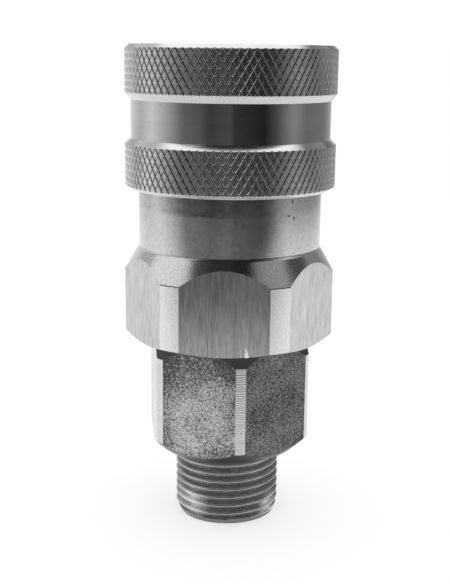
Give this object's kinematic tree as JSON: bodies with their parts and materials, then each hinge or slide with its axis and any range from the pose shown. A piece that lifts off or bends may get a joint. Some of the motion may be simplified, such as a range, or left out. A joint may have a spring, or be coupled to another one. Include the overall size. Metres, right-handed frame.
{
  "type": "quick coupling",
  "caption": "Stainless quick coupling socket: knurled pull-back sleeve with ball lock, sprung check valve, hexagon body and hexagon adapter with a male pipe thread.",
  "frame": {"origin": "centre of the thread's end face, on the surface that the coupling stands on", "axes": "+Z along the coupling's axis, from the male thread to the socket's mouth; the body hexagon's front flat faces about -Y"},
  "size_m": [0.0328, 0.0324, 0.0748],
  "materials": {
    "body_steel": "turned and milled",
    "sleeve_steel": "turned and knurled",
    "adapter_steel": "raw bar flats",
    "valve_steel": "turned",
    "ball_steel": "polished",
    "spring_steel": "drawn",
    "seal_rubber": "matt",
    "backup_plastic": "waxy"
  },
  "bodies": {
    "coupling": {"coupling_body": "body_steel", "adapter": "adapter_steel", "adapter_seal": "seal_rubber", "valve_guide": "valve_steel", "valve_spring": "spring_steel", "plug_seal": "seal_rubber", "plug_backup_ring": "backup_plastic", "sleeve_stop_ring": "spring_steel"},
    "spring": {"sleeve_spring": "spring_steel"},
    "sleeve": {"release_sleeve": "sleeve_steel"},
    "poppet": {"valve_poppet": "valve_steel", "poppet_seal": "seal_rubber"},
    "ball_1": {"locking_ball_1": "ball_steel"},
    "ball_2": {"locking_ball_2": "ball_steel"},
    "ball_3": {"locking_ball_3": "ball_steel"},
    "ball_4": {"locking_ball_4": "ball_steel"},
    "ball_5": {"locking_ball_5": "ball_steel"},
    "ball_6": {"locking_ball_6": "ball_steel"},
    "ball_7": {"locking_ball_7": "ball_steel"},
    "ball_8": {"locking_ball_8": "ball_steel"}
  },
  "joints": [
    {"name": "sleeve_spin", "type": "hinge", "parent": "coupling", "child": "spring", "pos_m": [0, 0, 0.06], "axis": [0, 0, 1], "continuous": true},
    {"name": "sleeve_slide", "type": "slide", "parent": "spring", "child": "sleeve", "axis": [0, 0, 1], "range_m": [-0.0045, 0], "stiffness_N_per_m": 1500, "springref_m": 0.006, "deforming": ["sleeve_spring"]},
    {"name": "poppet_slide", "type": "slide", "parent": "coupling", "child": "poppet", "axis": [0, 0, 1], "range_m": [-0.003, 0], "stiffness_N_per_m": 800, "springref_m": 0.005, "deforming": ["valve_spring"]},
    {"name": "ball_1_slide", "type": "slide", "parent": "coupling", "child": "ball_1", "axis": [1, 0, 0], "range_m": [0, 0.00096]},
    {"name": "ball_2_slide", "type": "slide", "parent": "coupling", "child": "ball_2", "axis": [0.7071, 0.7071, 0], "range_m": [0, 0.00096]},
    {"name": "ball_3_slide", "type": "slide", "parent": "coupling", "child": "ball_3", "axis": [0, 1, 0], "range_m": [0, 0.00096]},
    {"name": "ball_4_slide", "type": "slide", "parent": "coupling", "child": "ball_4", "axis": [-0.7071, 0.7071, 0], "range_m": [0, 0.00096]},
    {"name": "ball_5_slide", "type": "slide", "parent": "coupling", "child": "ball_5", "axis": [-1, 0, 0], "range_m": [0, 0.00096]},
    {"name": "ball_6_slide", "type": "slide", "parent": "coupling", "child": "ball_6", "axis": [-0.7071, -0.7071, 0], "range_m": [0, 0.00096]},
    {"name": "ball_7_slide", "type": "slide", "parent": "coupling", "child": "ball_7", "axis": [0, -1, 0], "range_m": [0, 0.00096]},
    {"name": "ball_8_slide", "type": "slide", "parent": "coupling", "child": "ball_8", "axis": [0.7071, -0.7071, 0], "range_m": [0, 0.00096]}
  ],
  "couplings": [
    {"joint": "ball_1_slide", "follows": "sleeve_slide", "ratio": -0.2111},
    {"joint": "ball_2_slide", "follows": "sleeve_slide", "ratio": -0.2111},
    {"joint": "ball_3_slide", "follows": "sleeve_slide", "ratio": -0.2111},
    {"joint": "ball_4_slide", "follows": "sleeve_slide", "ratio": -0.2111},
    {"joint": "ball_5_slide", "follows": "sleeve_slide", "ratio": -0.2111},
    {"joint": "ball_6_slide", "follows": "sleeve_slide", "ratio": -0.2111},
    {"joint": "ball_7_slide", "follows": "sleeve_slide", "ratio": -0.2111},
    {"joint": "ball_8_slide", "follows": "sleeve_slide", "ratio": -0.2111}
  ]
}
